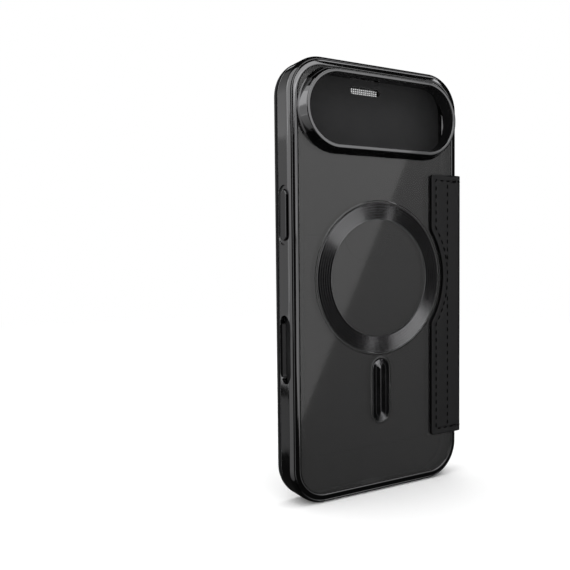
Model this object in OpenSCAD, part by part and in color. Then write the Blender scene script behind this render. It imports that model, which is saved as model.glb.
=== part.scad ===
// Folio wallet case for a thin smartphone: a clear-backed bumper shell with a magnetic ring,
// and a leather cover with a card pocket that opens like a book on a leather spine.
// Millimetres. X runs across the case, Y through its thickness with the rear (camera) side
// at +Y, and Z up its height. The origin is at the centre of the base of the closed case.

/* [Shell] */
// Outer width of the bumper
shell_w = 77.6; // [77.4:0.1:79]
// Outer height of the bumper
shell_h = 160; // [159:0.1:162]
// Thickness of the bumper, from its rear face to its front lip
shell_d = 8.8; // [8.6:0.1:9.4]
// Corner radius of the bumper, seen from behind
corner_r = 14; // [13:0.5:15]
// Thickness of the bumper's side wall
wall_t = 1.4; // [1.3:0.1:1.6]
// Thickness of the clear back panel
panel_t = 1.5; // [1.4:0.1:1.8]
// Depth of the space for the phone
bay_d = 5.8; // [5.6:0.1:6]

/* [Camera window] */
// Width of the window
window_w = 65.1; // [60:0.1:66]
// Height of the window
window_h = 24.9; // [22:0.1:25]
// Height of the window's centre above the base
window_z = 141.3; // [140:0.1:142]
// Height that the camera frame stands out from the back
rim_h = 4; // [2:0.1:5]

/* [Magnetic ring] */
// Outer radius of the ring
ring_ro = 28; // [27:0.1:28.5]
// Inner radius of the ring
ring_ri = 21.9; // [21:0.1:23]
// Height of the ring's centre above the base
ring_z = 81; // [80:0.1:82]
// Number of magnets round the ring
magnet_count = 18; // [12:1:24]
// Length of the alignment bar
bar_l = 23.7; // [20:0.1:25]
// Width of the alignment bar
bar_w = 7.6; // [6:0.1:9]
// Height of the bar's centre above the base
bar_z = 38.7; // [37:0.1:39]

/* [Keys] */
// Height of the power key's centre above the base
power_z = 104; // [100:0.5:106]
// Length of the power key
power_l = 18; // [14:0.5:19]
// Height of the action key's centre above the base
action_z = 124.8; // [124.5:0.1:127]
// Length of the action key
action_l = 8.4; // [7:0.1:9]
// Height of the upper volume key's centre above the base
volume_up_z = 108; // [106:0.5:110]
// Height of the lower volume key's centre above the base
volume_down_z = 92; // [88:0.5:93]
// Length of each volume key
volume_l = 11; // [8:0.5:12]
// Travel of each key
key_travel = 0.3; // [0.2:0.05:0.3]

/* [Cover, spine and tab] */
// Thickness of the outer leather
leather_t = 0.7; // [0.6:0.05:0.8]
// Height of the spine's lower end above the base
spine_z0 = 18; // [16:0.5:20]
// Height of the spine's upper end above the base
spine_z1 = 120.8; // [118:0.1:121]
// Distance of the tab's inner edge from the middle of the case
tab_x = 24.3; // [23.5:0.1:25]
// Gap between the ring and the tab's curved edge
tab_gap = 2.3; // [2:0.1:3]
// Distance of the stitching from the edges
stitch_in = 2.3; // [2:0.1:2.6]
// Length of one stitch, with the space after it
stitch_pitch = 2.5; // [2:0.1:3]

/* [Card pocket] */
// Width of the card that the pocket takes
card_w = 54; // [50:0.5:56]
// Thickness of the gap for the card
card_gap = 0.9; // [0.8:0.05:0.9]

/* [Hidden] */
$fn = 96;
eps = 0.01;
fit_gap = 0.05;

// Bumper section
flange_w = 3.5;
flange_t = 0.7;
flange_chamfer = 0.25;
panel_gap = 0.15;
rear_round = 1.8;
front_round = 1.0;
lip_w = 2.3;
groove_w = 0.4;
groove_d = 0.45;
groove_in = 1.1;
lip_z = panel_t + bay_d;
half_w = shell_w / 2;

// Openings in the bumper
port_w = 12.6;
port_t = 5.6;
speaker_w = 11;
speaker_t = 2.2;
speaker_x = 19;
control_z = 56.3;
control_l = 23.8;
control_t = 6.6;
control_bevel = 0.5;
side_mid = 4.7;
rib_t = 0.45;
rib_w = 3;
rib_d = 1.6;
rib_x = 22;
rib_mid = 6.2;

// Closing magnets in the cover and the steel bars that they pull on
catch_z = [30, 130];
catch_l = 12;
catch_t = 0.8;
catch_w = 1.1;
catch_in = 0.9;
cover_magnet_w = 3.2;

// Keys
key_t = 4;
key_proud = 0.2;
key_gap = 0.2;
moat_w = 1;
moat_d = 0.3;
key_flange = 0.8;
key_flange_t = 0.25;
key_slack = 0.05;
key_hollow_l = 3;
key_hollow_w = 2.4;
key_hollow_d = 0.35;

// Camera frame: distances from the centre of the window's round ends
rim_r = window_h / 2;
rim_cx = window_w / 2 - rim_r;
rim_flat = 1.1;
rim_foot = 2.95;
rim_foot_t = 0.2;
rim_spigot = 0.75;
rim_break = 0.25;

// Ring and bar layers, measured from the rear face towards the front
trim_proud = 0.1;
trim_t = 0.4;
magnet_t = 0.7;
backing_t = 0.1;
pocket_d = trim_t - trim_proud + magnet_t + backing_t;
trim_wall = 0.2;
ring_grooves = 9;
ring_land = 0.7;
ring_groove_share = 0.83;
trim_groove_d = 0.15;
magnet_edge = 0.5;
magnet_gap_deg = 2;
bar_grooves = 3;
bar_groove_pitch = 1.1;
bar_groove_w = 0.9;
bar_core = 0.3;
bar_magnet_w = 5.2;
bar_magnet_l = 17;

// Tab layers, standing out from the rear face
adhesive_t = 0.15;
tab_board_t = 0.25;
tab_r = 1.2;
tab_fillet = 4;
tab_board_in = 0.3;
adhesive_in = 0.6;
tab_board_end = 1;
adhesive_end = 2;
seam_x = 32.5;
tab_top = adhesive_t + tab_board_t + leather_t;
seam_arc = 17;
seam_break = 4;
seam_end = 1.5;

// Cover layers, measured from the rear face towards the front
cover_gap = 0.2;
lining_t = 0.5;
board_t = 0.8;
padding_t = 0.4;
lining_z = shell_d + cover_gap;
board_z = lining_z + lining_t;
padding_z = board_z + board_t;
leather_z = padding_z + padding_t;
cover_front = leather_z + leather_t;
turned_edge = 3.3;
core_in = 0.2;
lining_in = 0.6;
edge_round = 0.6;
channel_w = 0.8;
channel_d = 0.25;
magnet_clear = 0.1;
slot_z = 152;
slot_l = 14;
slot_t = 2.8;
slot_back = 0.8;
grille_in = 0.5;
grille_t = 0.3;
grille_hole = 0.5;
grille_pitch_x = 0.95;
grille_pitch_z = 0.8;

// Spine: it stands off the bumper's side, clear of the keys
spine_gap = 0.4;
spine_lining_t = 0.2;
spine_board_t = 0.3;
fold_r = 0.5;
fold_clear = 1.6;
spine_in = half_w + spine_gap;
spine_out = spine_in + spine_lining_t + spine_board_t + leather_t;
hinge_x = spine_out - 0.8;
rear_hinge_z = 0.2;
front_hinge_z = cover_front - 1.4;
spine_fold_z0 = rear_hinge_z + fold_clear;
spine_fold_z1 = front_hinge_z - fold_clear;

// Card pocket
pocket_sheet_t = 0.4;
pocket_border = 2.8;
pocket_w = card_w + 0.8 + 2 * pocket_border;
pocket_z0 = 14;
pocket_z1 = 98;
pocket_r = 3;
thumb_r = 10;
pocket_in = lining_z - card_gap;
pocket_seam_in = 1.2;

// Stitches
thread_w = 0.4;
thread_l = 1.6;
thread_t = 0.2;

// The closed case's box puts the origin at the middle of its base
x_mid = (spine_out - half_w - key_proud) / 2;
y_mid = (cover_front - rim_h) / 2;

// ---------- helpers ----------

// Modules draw in a flat frame: x across, y up the case, z from the rear face to the front.
// This stands that frame up, with the rear facing +Y.
module stand() {
    translate([x_mid, y_mid, 0]) rotate([90, 0, 0]) children();
}

// Rounded rectangle centred on the case
module outline(w, h, r) {
    translate([0, shell_h / 2]) {
        square([w - 2 * r, h], center = true);
        square([w, h - 2 * r], center = true);
        for (sx = [-1, 1], sy = [-1, 1])
            translate([sx * (w / 2 - r), sy * (h / 2 - r)]) circle(r);
    }
}

// The shell's outline, moved in by a distance
module shell_outline(inset) {
    outline(shell_w - 2 * inset, shell_h - 2 * inset, corner_r - inset);
}

// Flat layer between two distances from the rear face
module layer(z0, z1) {
    translate([0, 0, z0]) linear_extrude(z1 - z0) children();
}

// Sweeps a section round a rounded rectangle. The section's x is the distance from the
// centre of a corner, and its y is the distance from the rear face.
module sweep(w, h, r) {
    for (k = [0:3]) {
        run = (k % 2 == 0 ? h : w) - 2 * r;
        reach = (k % 2 == 0 ? w : h) / 2 - r;
        rotate([0, 0, 90 * k]) {
            if (run > eps)
                translate([reach, run / 2, 0]) rotate([90, 0, 0]) linear_extrude(run) children();
            translate([reach, run / 2, 0]) rotate_extrude(angle = 90) children();
        }
    }
}

// Slot with round ends, long in y
module stadium(l, w) {
    square([w, l - w], center = true);
    for (s = [-1, 1]) translate([0, s * (l - w) / 2]) circle(w / 2);
}

// Slot with round ends, cut or built through a side wall between two distances from the middle
module side_slot(z, l, w, x0, x1) {
    translate([x0, z, side_mid]) rotate([0, 90, 0]) linear_extrude(x1 - x0) stadium(l, w);
}

// Solid with round ends that widens from its slot by a bevel
module side_bevel(z, l, w, x0, bevel) {
    for (s = [-1, 1])
        translate([x0, z + s * (l - w) / 2, side_mid]) rotate([0, 90, 0])
            cylinder(h = bevel, r1 = w / 2, r2 = w / 2 + bevel);
    translate([x0, z + (l - w) / 2, side_mid]) rotate([90, 0, 0])
        linear_extrude(l - w)
            polygon([[0, -w / 2], [0, w / 2], [bevel, w / 2 + bevel], [bevel, -w / 2 - bevel]]);
}

// A point at a distance s along a rounded rectangle, with the direction of travel
function corner_len(r) = PI * r / 2;
function side_len(k, w, h, r) = (k % 2 == 0 ? h : w) - 2 * r;
function turn(p, k) = [
    p[0] * cos(90 * k) - p[1] * sin(90 * k),
    p[0] * sin(90 * k) + p[1] * cos(90 * k),
    p[2] + 90 * k
];
function along(s, w, h, r, k = 0) =
    let (run = side_len(k, w, h, r), reach = (k % 2 == 0 ? w : h) / 2, a = (s - run) / r * 180 / PI)
    s < run ? turn([reach, s - run / 2, 90], k)
    : s < run + corner_len(r)
        ? turn([reach - r + r * cos(a), run / 2 + r * sin(a), 90 + a], k)
    : along(s - run - corner_len(r), w, h, r, k + 1);
function around_len(w, h, r) = 2 * (w + h - 4 * r) + 4 * corner_len(r);

// One stitch at a point [x, y, direction]
module stitch(p, z) {
    translate([p[0], p[1], z]) rotate([0, 0, p[2]])
        translate([-thread_l / 2, -thread_w / 2, 0]) cube([thread_l, thread_w, thread_t]);
}

// A straight row of stitches between two points
module stitch_row(a, b, z) {
    span = norm(b - a);
    count = max(1, round(span / stitch_pitch));
    heading = atan2(b[1] - a[1], b[0] - a[0]);
    for (i = [0:count - 1]) {
        p = a + (b - a) * (i + 0.5) / count;
        stitch([p[0], p[1], heading], z);
    }
}

// ---------- shell ----------

module bumper_section() {
    r = corner_r;
    difference() {
        translate([r - flange_w, 0]) square([flange_w, shell_d]);
        translate([r - flange_w - 1, flange_t]) square([flange_w + 1 - wall_t, lip_z - flange_t]);
        translate([r - flange_w - 1, lip_z - eps]) square([flange_w + 1 - lip_w, shell_d]);
        polygon([
            [r - flange_w - 1, -1], [r - flange_w + flange_chamfer, -1],
            [r - flange_w + flange_chamfer, 0], [r - flange_w, flange_chamfer],
            [r - flange_w - 1, flange_chamfer]
        ]);
        difference() {
            translate([r - rear_round, -1]) square(rear_round + 1);
            translate([r - rear_round, rear_round]) circle(rear_round);
        }
        difference() {
            translate([r - front_round, shell_d - front_round]) square(front_round + 1);
            translate([r - front_round, shell_d - front_round]) circle(front_round);
        }
        translate([r - groove_in - groove_w / 2, -1]) square([groove_w, groove_d + 1]);
    }
}

// Space for one side key in the wall on the +X side: the hole, the groove round it, and the
// recess that the key's flange moves in
module key_hole(z, l) {
    spread = 2 * (key_flange + key_gap);
    side_slot(z, l + 2 * key_gap, key_t + 2 * key_gap, half_w - wall_t - 1, half_w + 1);
    side_slot(z, l + 2 * moat_w, key_t + 2 * moat_w, half_w - moat_d, half_w + 1);
    side_slot(z, l + spread, key_t + spread, half_w - wall_t - 2 * key_slack,
        half_w - wall_t + key_flange_t + key_travel);
}

module bottom_slot(x, l, w) {
    translate([x, -1, side_mid]) rotate([-90, 90, 0]) linear_extrude(wall_t + 2) stadium(l, w);
}

module bumper_frame() {
    color("#1b1b1d") stand() {
        difference() {
            translate([0, shell_h / 2, 0]) sweep(shell_w, shell_h, corner_r) bumper_section();
            key_hole(power_z, power_l);
            mirror([1, 0, 0]) key_hole(action_z, action_l);
            mirror([1, 0, 0]) key_hole(volume_up_z, volume_l);
            mirror([1, 0, 0]) key_hole(volume_down_z, volume_l);
            side_slot(control_z, control_l, control_t, half_w - wall_t - 1, half_w + 1);
            side_bevel(control_z, control_l, control_t, half_w - control_bevel + eps, control_bevel);
            bottom_slot(0, port_w, port_t);
            for (s = [-1, 1]) bottom_slot(s * speaker_x, speaker_w, speaker_t);
            catch_space(eps);
        }
        // Ribs that hold the phone's ends
        for (y = [wall_t - eps, shell_h - wall_t - rib_t], x = [-rib_x, rib_x])
            translate([x - rib_w / 2, y, rib_mid - rib_d / 2]) cube([rib_w, rib_t + eps, rib_d]);
    }
}

// Bars in the front lip that the cover's magnets pull on, let in from the phone's side
module catch_space(extra) {
    for (z = catch_z)
        translate([half_w - catch_in - catch_w, z - catch_l / 2, lip_z - extra])
            cube([catch_w, catch_l, catch_t + extra]);
}

module catch_strips() {
    color("silver") stand() catch_space(0);
}

module back_panel() {
    spread = 2 * rim_spigot + 2 * fit_gap;
    color("#3a3a3a", 0.5) stand() difference() {
        union() {
            layer(0, panel_t) shell_outline(flange_w + panel_gap);
            layer(flange_t + fit_gap, panel_t) shell_outline(wall_t + fit_gap);
        }
        layer(-1, panel_t + 1)
            translate([0, window_z]) rotate(90) stadium(window_w + spread, window_h + spread);
        layer(-1, pocket_d) ring_band(ring_ri - fit_gap, ring_ro + fit_gap);
        layer(-1, pocket_d) translate([0, bar_z]) stadium(bar_l + 2 * fit_gap, bar_w + 2 * fit_gap);
    }
}

// The frame's wall: a spigot through the panel, a flat top and a sloping outer side
module camera_section() {
    foot = rim_r + rim_foot;
    spigot = rim_r + rim_spigot;
    polygon([
        [rim_r, panel_t], [rim_r, rim_break - rim_h], [rim_r + rim_break, -rim_h],
        [rim_r + rim_flat, -rim_h], [rim_r + rim_flat + rim_break, rim_break - rim_h],
        [foot, -rim_foot_t], [foot, 0], [spigot, 0], [spigot, panel_t]
    ]);
}

module camera_frame() {
    color("#222225") stand()
        translate([0, window_z, 0]) sweep(window_w, window_h - eps, rim_r - eps / 2) camera_section();
}

// ---------- magnetic ring and alignment bar ----------

module ring_band(ri, ro) {
    translate([0, ring_z]) difference() {
        circle(ro);
        circle(ri);
    }
}

// Section of one V groove in a trim's face, open towards the rear
module groove_section(w) {
    polygon([[-w / 2, -1], [w / 2, -1], [w / 2, 0], [0, trim_groove_d], [-w / 2, 0]]);
}

// Metal cap over the magnets, with fine grooves round its face
module ring_trim() {
    w = ring_ro - ring_ri;
    step = (w - 2 * ring_land) / ring_grooves;
    color("#2b2b2e") stand() translate([0, ring_z, 0]) rotate_extrude() difference() {
        translate([ring_ri, -trim_proud]) square([w, pocket_d - backing_t + trim_proud]);
        translate([ring_ri + trim_wall, trim_t - trim_proud]) square([w - 2 * trim_wall, pocket_d]);
        for (i = [0:ring_grooves - 1])
            translate([ring_ri + ring_land + step * (i + 0.5), -trim_proud])
                groove_section(step * ring_groove_share);
    }
}

module ring_magnets() {
    span = 360 / magnet_count - magnet_gap_deg;
    color("silver") stand() translate([0, ring_z, trim_t - trim_proud])
        for (i = [0:magnet_count - 1])
            rotate([0, 0, 90 + i * 360 / magnet_count - span / 2]) rotate_extrude(angle = span)
                translate([ring_ri + magnet_edge, 0])
                    square([ring_ro - ring_ri - 2 * magnet_edge, magnet_t]);
}

module ring_backing() {
    color("white") stand() layer(pocket_d - backing_t, pocket_d) ring_band(ring_ri, ring_ro);
}

// Cap over the bar's magnet, with grooves that run round its face
module bar_trim() {
    color("#2b2b2e") stand() translate([0, bar_z, 0]) difference() {
        layer(-trim_proud, pocket_d - backing_t) stadium(bar_l, bar_w);
        layer(trim_t - trim_proud, pocket_d) stadium(bar_l - 2 * trim_wall, bar_w - 2 * trim_wall);
        translate([0, 0, -trim_proud]) sweep(bar_w - eps, bar_l, bar_w / 2 - eps / 2)
            for (i = [0:bar_grooves - 1])
                translate([bar_core + bar_groove_pitch * (i + 0.5), 0]) groove_section(bar_groove_w);
    }
}

module bar_magnet() {
    color("silver") stand()
        translate([-bar_magnet_w / 2, bar_z - bar_magnet_l / 2, trim_t - trim_proud])
            cube([bar_magnet_w, bar_magnet_l, magnet_t]);
}

module bar_backing() {
    color("white") stand() layer(pocket_d - backing_t, pocket_d)
        translate([0, bar_z]) stadium(bar_l, bar_w);
}

// ---------- keys ----------

// One key, in the wall on the +X side: a cap, and a flange behind the wall with a hollow
// that clears the phone's own button
module key(z, l) {
    back = half_w - wall_t + key_travel - key_slack;
    difference() {
        union() {
            side_slot(z, l, key_t, back + eps, half_w + key_proud);
            side_slot(z, l + 2 * key_flange, key_t + 2 * key_flange, back, back + key_flange_t);
        }
        side_slot(z, l - key_hollow_l, key_hollow_w, back - 1, back + key_hollow_d);
    }
}

module power_key() {
    color("#26262a") stand() key(power_z, power_l);
}

module action_key() {
    color("#26262a") stand() mirror([1, 0, 0]) key(action_z, action_l);
}

module volume_up_key() {
    color("#26262a") stand() mirror([1, 0, 0]) key(volume_up_z, volume_l);
}

module volume_down_key() {
    color("#26262a") stand() mirror([1, 0, 0]) key(volume_down_z, volume_l);
}

// ---------- tab on the back ----------

// The tab's shape out to x_end, moved in by a distance on all sides but the fold's. Its inner
// edge curves round the ring, with a small fillet at each end of the curve.
module tab_outline(inset, x_end) {
    edge = tab_x + inset;
    ring_r = ring_ro + tab_gap + inset;
    fillet = tab_fillet - inset;
    y0 = spine_z0 + inset;
    y1 = spine_z1 - inset;
    r = max(tab_r - inset, 0.3);
    nick = 0.5;
    lift = sqrt(pow(ring_r + fillet, 2) - pow(edge + fillet, 2));
    share = ring_r / (ring_r + fillet);
    meet = sqrt(ring_r * ring_r - edge * edge);
    difference() {
        union() {
            translate([-x_end, y0]) square([x_end - edge - r, y1 - y0]);
            translate([-edge - r - eps, y0 + r]) square([r + eps, y1 - y0 - 2 * r]);
            for (y = [y0 + r, y1 - r]) translate([-edge - r, y]) circle(r);
        }
        translate([0, ring_z]) circle(ring_r);
        for (s = [-1, 1]) translate([0, ring_z]) difference() {
            polygon([
                [-edge + eps, s * lift], [-edge + nick, s * (meet - nick)],
                [-share * (edge + fillet), s * (share * lift - 2 * eps)],
                [-share * (edge + fillet) - eps, s * share * lift]
            ]);
            translate([-edge - fillet, s * lift]) circle(fillet);
        }
    }
}

// Pressed lines that the stitches lie in
module tab_channel() {
    difference() {
        tab_outline(stitch_in - channel_w / 2, half_w + 1);
        tab_outline(stitch_in + channel_w / 2, half_w + 2);
    }
    translate([-seam_x - channel_w / 2, spine_z0 + stitch_in])
        square([channel_w, spine_z1 - spine_z0 - 2 * stitch_in]);
}

module tab_leather() {
    color("#151515") stand() difference() {
        layer(-tab_top, leather_t - tab_top) tab_outline(0, half_w);
        layer(-tab_top - 1, channel_d - tab_top) tab_channel();
    }
}

module tab_board() {
    color("dimgray") stand() layer(leather_t - tab_top, -adhesive_t)
        tab_outline(tab_board_in, half_w - tab_board_end);
}

module tab_adhesive() {
    color("whitesmoke") stand() layer(-adhesive_t, 0) tab_outline(adhesive_in, half_w - adhesive_end);
}

// Rows along the inner edge, round the curve by the ring, along the seam and at both ends
module tab_stitching() {
    z = channel_d - tab_top - thread_t;
    edge = tab_x + stitch_in;
    arc_r = ring_ro + tab_gap + stitch_in;
    y0 = spine_z0 + stitch_in;
    y1 = spine_z1 - stitch_in;
    arc_a = asin(seam_arc / arc_r);
    arc_n = floor(arc_r * arc_a * 2 * PI / 180 / stitch_pitch);
    color("black") stand() {
        for (a = [[edge, seam_arc + seam_break], [seam_x, seam_arc / 2]]) {
            stitch_row([-a[0], y0 + seam_end], [-a[0], ring_z - a[1]], z);
            stitch_row([-a[0], ring_z + a[1]], [-a[0], y1 - seam_end], z);
        }
        for (i = [0:arc_n - 1]) {
            a = 180 - arc_a + 2 * arc_a * (i + 0.5) / arc_n;
            stitch([arc_r * cos(a), ring_z + arc_r * sin(a), a + 90], z);
        }
        for (y = [y0, y1]) stitch_row([-edge - seam_end, y], [-half_w, y], z);
    }
}

// ---------- spine ----------

// Flat strip of the spine between two distances from the middle
module spine_strip(x0, x1, inset) {
    translate([-x1, spine_z0 + inset, spine_fold_z0])
        cube([x1 - x0, spine_z1 - spine_z0 - 2 * inset, spine_fold_z1 - spine_fold_z0]);
}

module spine_leather() {
    color("#151515") stand() difference() {
        spine_strip(spine_out - leather_t, spine_out, 0);
        for (y = [spine_z0 + stitch_in, spine_z1 - stitch_in])
            translate([-spine_out - 1, y - channel_w / 2, 0])
                cube([1 + channel_d, channel_w, cover_front]);
    }
}

module spine_board() {
    color("dimgray") stand() spine_strip(spine_in + spine_lining_t, spine_out - leather_t, adhesive_in);
}

module spine_lining() {
    color("#2a2a2c") stand() spine_strip(spine_in, spine_in + spine_lining_t, tab_board_in);
}

// Two stitches across the spine at each end
module spine_stitching() {
    for (y = [spine_z0 + stitch_in, spine_z1 - stitch_in])
        for (z = [spine_fold_z0 + 1, spine_fold_z1 - 1 - thread_l])
            color("black") stand() translate([-spine_out + channel_d - thread_t, y - thread_w / 2, z])
                cube([thread_t, thread_w, thread_l]);
}

// Rolled leather on each fold line
module fold(z) {
    translate([-hinge_x, spine_z0, z]) rotate([-90, 0, 0])
        cylinder(h = spine_z1 - spine_z0, r = fold_r);
}

module rear_fold() {
    color("#151515") stand() fold(rear_hinge_z);
}

module front_fold() {
    color("#151515") stand() fold(front_hinge_z);
}

// ---------- cover ----------

module earpiece_slot(extra) {
    translate([0, slot_z]) rotate(90) stadium(slot_l + 2 * extra, slot_t + 2 * extra);
}

module cover_section() {
    r = corner_r;
    difference() {
        translate([r - turned_edge - eps, board_z]) square([turned_edge + eps, cover_front - board_z]);
        difference() {
            translate([r - edge_round, cover_front - edge_round]) square(edge_round + 1);
            translate([r - edge_round, cover_front - edge_round]) circle(edge_round);
        }
        translate([r - stitch_in - channel_w / 2, cover_front - channel_d]) square([channel_w, 1]);
    }
}

module cover_leather() {
    color("#151515") stand() difference() {
        union() {
            translate([0, shell_h / 2, 0]) sweep(shell_w, shell_h, corner_r) cover_section();
            layer(leather_z, cover_front) shell_outline(turned_edge);
        }
        layer(leather_z - 1, cover_front + 1) earpiece_slot(0);
    }
}

module cover_padding() {
    color("gray") stand() difference() {
        layer(padding_z, leather_z) shell_outline(turned_edge + core_in);
        layer(padding_z - 1, leather_z + 1) earpiece_slot(slot_back);
    }
}

// Magnets near the cover's free edge
module cover_magnet_space(extra) {
    x = half_w - turned_edge - core_in - cover_magnet_w - 2 * fit_gap;
    for (z = catch_z)
        translate([x - extra, z - catch_l / 2 - extra, board_z])
            cube([cover_magnet_w + 2 * extra, catch_l + 2 * extra, board_t]);
}

module cover_board() {
    color("tan") stand() difference() {
        layer(board_z, padding_z) shell_outline(turned_edge + core_in);
        layer(board_z - 1, padding_z + 1) earpiece_slot(slot_back);
        cover_magnet_space(magnet_clear);
    }
}

module cover_magnets() {
    color("silver") stand() cover_magnet_space(0);
}

module cover_lining() {
    color("#2a2a2c") stand() difference() {
        layer(lining_z, board_z) shell_outline(lining_in);
        layer(lining_z - 1, board_z + 1) earpiece_slot(0);
    }
}

// Stitches round the cover's edge, apart from the stretch where the spine joins it
module cover_stitching() {
    w = shell_w - 2 * stitch_in;
    h = shell_h - 2 * stitch_in;
    r = corner_r - stitch_in;
    count = floor(around_len(w, h, r) / stitch_pitch);
    z = cover_front - channel_d;
    y0 = spine_z0 + stitch_in;
    y1 = spine_z1 - stitch_in;
    color("black") stand() {
        for (i = [0:count - 1]) {
            p = along((i + 0.5) * around_len(w, h, r) / count, w, h, r);
            y = p[1] + shell_h / 2;
            if (p[0] > 0 || y < y0 - 1 || y > y1 + 1) stitch([p[0], y, p[2]], z);
        }
    }
}

// Perforated metal strip behind the slot
module earpiece_grille() {
    color("silver") stand() difference() {
        layer(leather_z - grille_t, leather_z) earpiece_slot(grille_in);
        for (i = [-6.5:6.5], j = [-1:1])
            translate([i * grille_pitch_x, slot_z + j * grille_pitch_z, leather_z])
                cube([grille_hole, grille_hole, 1], center = true);
    }
}

// ---------- card pocket ----------

module card_pocket() {
    color("#232325") stand() layer(pocket_in - pocket_sheet_t, pocket_in) difference() {
        translate([0, (pocket_z0 + pocket_z1) / 2]) {
            square([pocket_w - 2 * pocket_r, pocket_z1 - pocket_z0], center = true);
            square([pocket_w, pocket_z1 - pocket_z0 - 2 * pocket_r], center = true);
            for (sx = [-1, 1], sy = [-1, 1])
                translate([sx * (pocket_w / 2 - pocket_r), sy * ((pocket_z1 - pocket_z0) / 2 - pocket_r)])
                    circle(pocket_r);
        }
        translate([0, pocket_z1]) circle(thumb_r);
    }
}

// Strips between the pocket's sheet and the lining: the two sides and the bottom
module pocket_seam() {
    h = pocket_z1 - pocket_z0 - 2 * pocket_r;
    color("#232325") stand() {
        for (x = [-pocket_w / 2, pocket_w / 2 - pocket_border])
            translate([x, pocket_z0 + pocket_r, pocket_in]) cube([pocket_border, h, card_gap]);
        translate([-pocket_w / 2 + pocket_r, pocket_z0, pocket_in])
            cube([pocket_w - 2 * pocket_r, pocket_border, card_gap]);
    }
}

module pocket_stitching() {
    x = pocket_w / 2 - pocket_seam_in;
    y = pocket_z0 + pocket_seam_in;
    z = pocket_in - pocket_sheet_t - thread_t;
    color("black") stand() {
        for (s = [-1, 1]) stitch_row([s * x, pocket_z0 + pocket_r], [s * x, pocket_z1 - seam_end], z);
        stitch_row([-x + seam_end, y], [x - seam_end, y], z);
    }
}

bumper_frame();
back_panel();
camera_frame();
ring_trim();
ring_magnets();
ring_backing();
bar_trim();
bar_magnet();
bar_backing();
catch_strips();
tab_leather();
tab_board();
tab_adhesive();
tab_stitching();
power_key();
action_key();
volume_up_key();
volume_down_key();
spine_leather();
spine_board();
spine_lining();
spine_stitching();
rear_fold();
front_fold();
cover_leather();
cover_padding();
cover_board();
cover_lining();
cover_magnets();
cover_stitching();
earpiece_grille();
card_pocket();
pocket_seam();
pocket_stitching();
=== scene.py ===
"""Looks of the phone wallet case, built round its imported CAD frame."""

import math

import bmesh
import bpy
from mathutils import Matrix, Vector

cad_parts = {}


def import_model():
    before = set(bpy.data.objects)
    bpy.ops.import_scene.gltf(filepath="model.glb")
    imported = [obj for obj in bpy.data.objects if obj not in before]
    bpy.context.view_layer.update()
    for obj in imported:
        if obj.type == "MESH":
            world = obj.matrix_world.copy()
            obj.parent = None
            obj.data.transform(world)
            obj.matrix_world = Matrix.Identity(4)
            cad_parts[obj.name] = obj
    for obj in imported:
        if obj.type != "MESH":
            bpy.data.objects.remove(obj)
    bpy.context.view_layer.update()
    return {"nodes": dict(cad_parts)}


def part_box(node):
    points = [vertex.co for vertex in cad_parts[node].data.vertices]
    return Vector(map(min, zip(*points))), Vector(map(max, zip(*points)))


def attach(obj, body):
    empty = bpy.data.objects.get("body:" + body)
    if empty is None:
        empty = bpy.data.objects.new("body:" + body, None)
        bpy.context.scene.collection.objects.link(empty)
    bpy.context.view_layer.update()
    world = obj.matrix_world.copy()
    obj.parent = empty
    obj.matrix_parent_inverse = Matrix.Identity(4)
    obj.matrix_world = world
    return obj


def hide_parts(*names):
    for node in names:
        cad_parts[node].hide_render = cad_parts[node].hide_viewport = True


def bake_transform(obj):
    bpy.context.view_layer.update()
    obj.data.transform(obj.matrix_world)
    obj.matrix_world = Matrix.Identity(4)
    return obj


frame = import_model()
MM = 0.001

# ---------- the frame's own places, in millimetres ----------
# Meshes are worked out in a flat frame: x across the case, y up it, and z from the rear face
# to the front.

shell_lo, shell_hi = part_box("bumper_frame")
X0 = (shell_lo.x + shell_hi.x) / 2
Y0 = shell_hi.y


def at(x, y, z):
    """A point of the flat frame, as metres in the part's frame."""
    return Vector((X0 + x * MM, Y0 - z * MM, y * MM))


def flat_box(node):
    """Lowest and highest x, y and z of a CAD node, in the flat frame."""
    lo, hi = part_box(node)
    low = ((lo.x - X0) / MM, lo.z / MM, (Y0 - hi.y) / MM)
    high = ((hi.x - X0) / MM, hi.z / MM, (Y0 - lo.y) / MM)
    return low, high


def span(node, axis):
    """Size of a CAD node along an axis of the flat frame."""
    low, high = flat_box(node)
    return high[axis] - low[axis]


def middle(node, axis):
    """Middle of a CAD node along an axis of the flat frame."""
    low, high = flat_box(node)
    return (low[axis] + high[axis]) / 2


# Bumper
SHELL_W = span("bumper_frame", 0)
SHELL_H = span("bumper_frame", 1)
SHELL_D = span("bumper_frame", 2)
HALF_W = SHELL_W / 2
MID_Y = SHELL_H / 2
CORNER_R = 14.0
WALL_T = 1.4
PANEL_T = 1.5
FLANGE_W = 3.5
FLANGE_T = 0.7
FLANGE_EDGE = 0.25
DOME_R = 6.0
REAR_ROUND = 1.8
FRONT_ROUND = 1.0
GROOVE_IN = 1.1
GROOVE_HALF = 0.2
GROOVE_FLOOR = 0.8
LIP_W = 2.3
LIP_Z = 7.3

# Openings in the bumper's walls. A slot's growth is what is added to it all round.
SIDE_MID = 4.7
CUT_IN = 3.0
CUT_OUT = 1.0
CONTROL_Y = 56.3
CONTROL_L = 23.8
CONTROL_W = 6.6
CONTROL_BEVEL = 0.5
PORT_L = 12.6
PORT_W = 5.6
SPEAKER_X = 19.0
SPEAKER_L = 11.0
SPEAKER_W = 2.2
PORT_BEVEL = 0.3

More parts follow.
